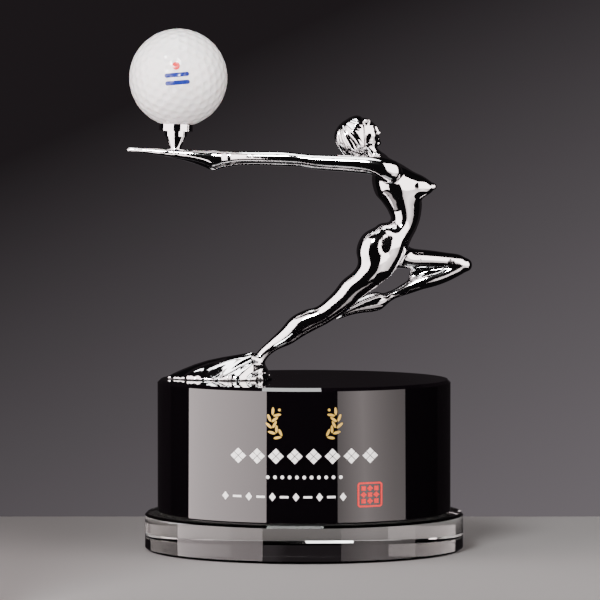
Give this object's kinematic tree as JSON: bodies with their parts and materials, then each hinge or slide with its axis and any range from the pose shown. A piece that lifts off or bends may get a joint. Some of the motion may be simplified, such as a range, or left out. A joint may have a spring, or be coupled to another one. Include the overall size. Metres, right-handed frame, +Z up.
{
  "type": "figure trophy",
  "caption": "Golf trophy: chrome dancer leaning back over a black crystal drum on a clear disc, with a golf ball resting in a small cup on the outstretched hands.",
  "frame": {"origin": "centre of the clear disc's underside, on the plane the trophy stands on", "axes": "+Z up, +X the way the figure's chest and knee point, -Y the side with the decoration on the drum"},
  "size_m": [0.1519, 0.139, 0.2266],
  "materials": {
    "clear_crystal": "polished clear crystal glass",
    "clear_resin": "cured clear adhesive",
    "black_crystal": "polished black crystal glass",
    "gold_enamel": "gold paint fill",
    "white_enamel": "white paint fill",
    "red_enamel": "red paint fill",
    "bright_plate": "bright chrome plate over a zinc alloy casting",
    "steel": "plain steel rod",
    "ball_rubber": "moulded rubber",
    "ball_skin": "glossy white ionomer with dimples"
  },
  "bodies": {
    "trophy": {"clear_disc": "clear_crystal", "disc_bond_film": "clear_resin", "black_block": "black_crystal", "laurel_marks": "gold_enamel", "white_marks": "white_enamel", "seal_marks": "red_enamel", "base_studs": "steel", "stud_resin": "clear_resin", "wave_foot": "bright_plate", "standing_leg": "bright_plate", "bent_leg": "bright_plate", "torso": "bright_plate", "head": "bright_plate", "right_arm": "bright_plate", "left_arm": "bright_plate", "neck_dowel": "steel", "hip_dowel": "steel", "thigh_dowel": "steel", "ankle_dowel": "steel", "right_shoulder_dowel": "steel", "left_shoulder_dowel": "steel", "ball_cup": "bright_plate", "cup_stud": "steel"},
    "ball": {"ball_core": "ball_rubber", "ball_cover": "ball_skin"}
  },
  "joints": [
    {"name": "ball_lift", "type": "slide", "parent": "trophy", "child": "ball", "axis": [0, 0, 1], "range_m": [0, 0.06]}
  ]
}
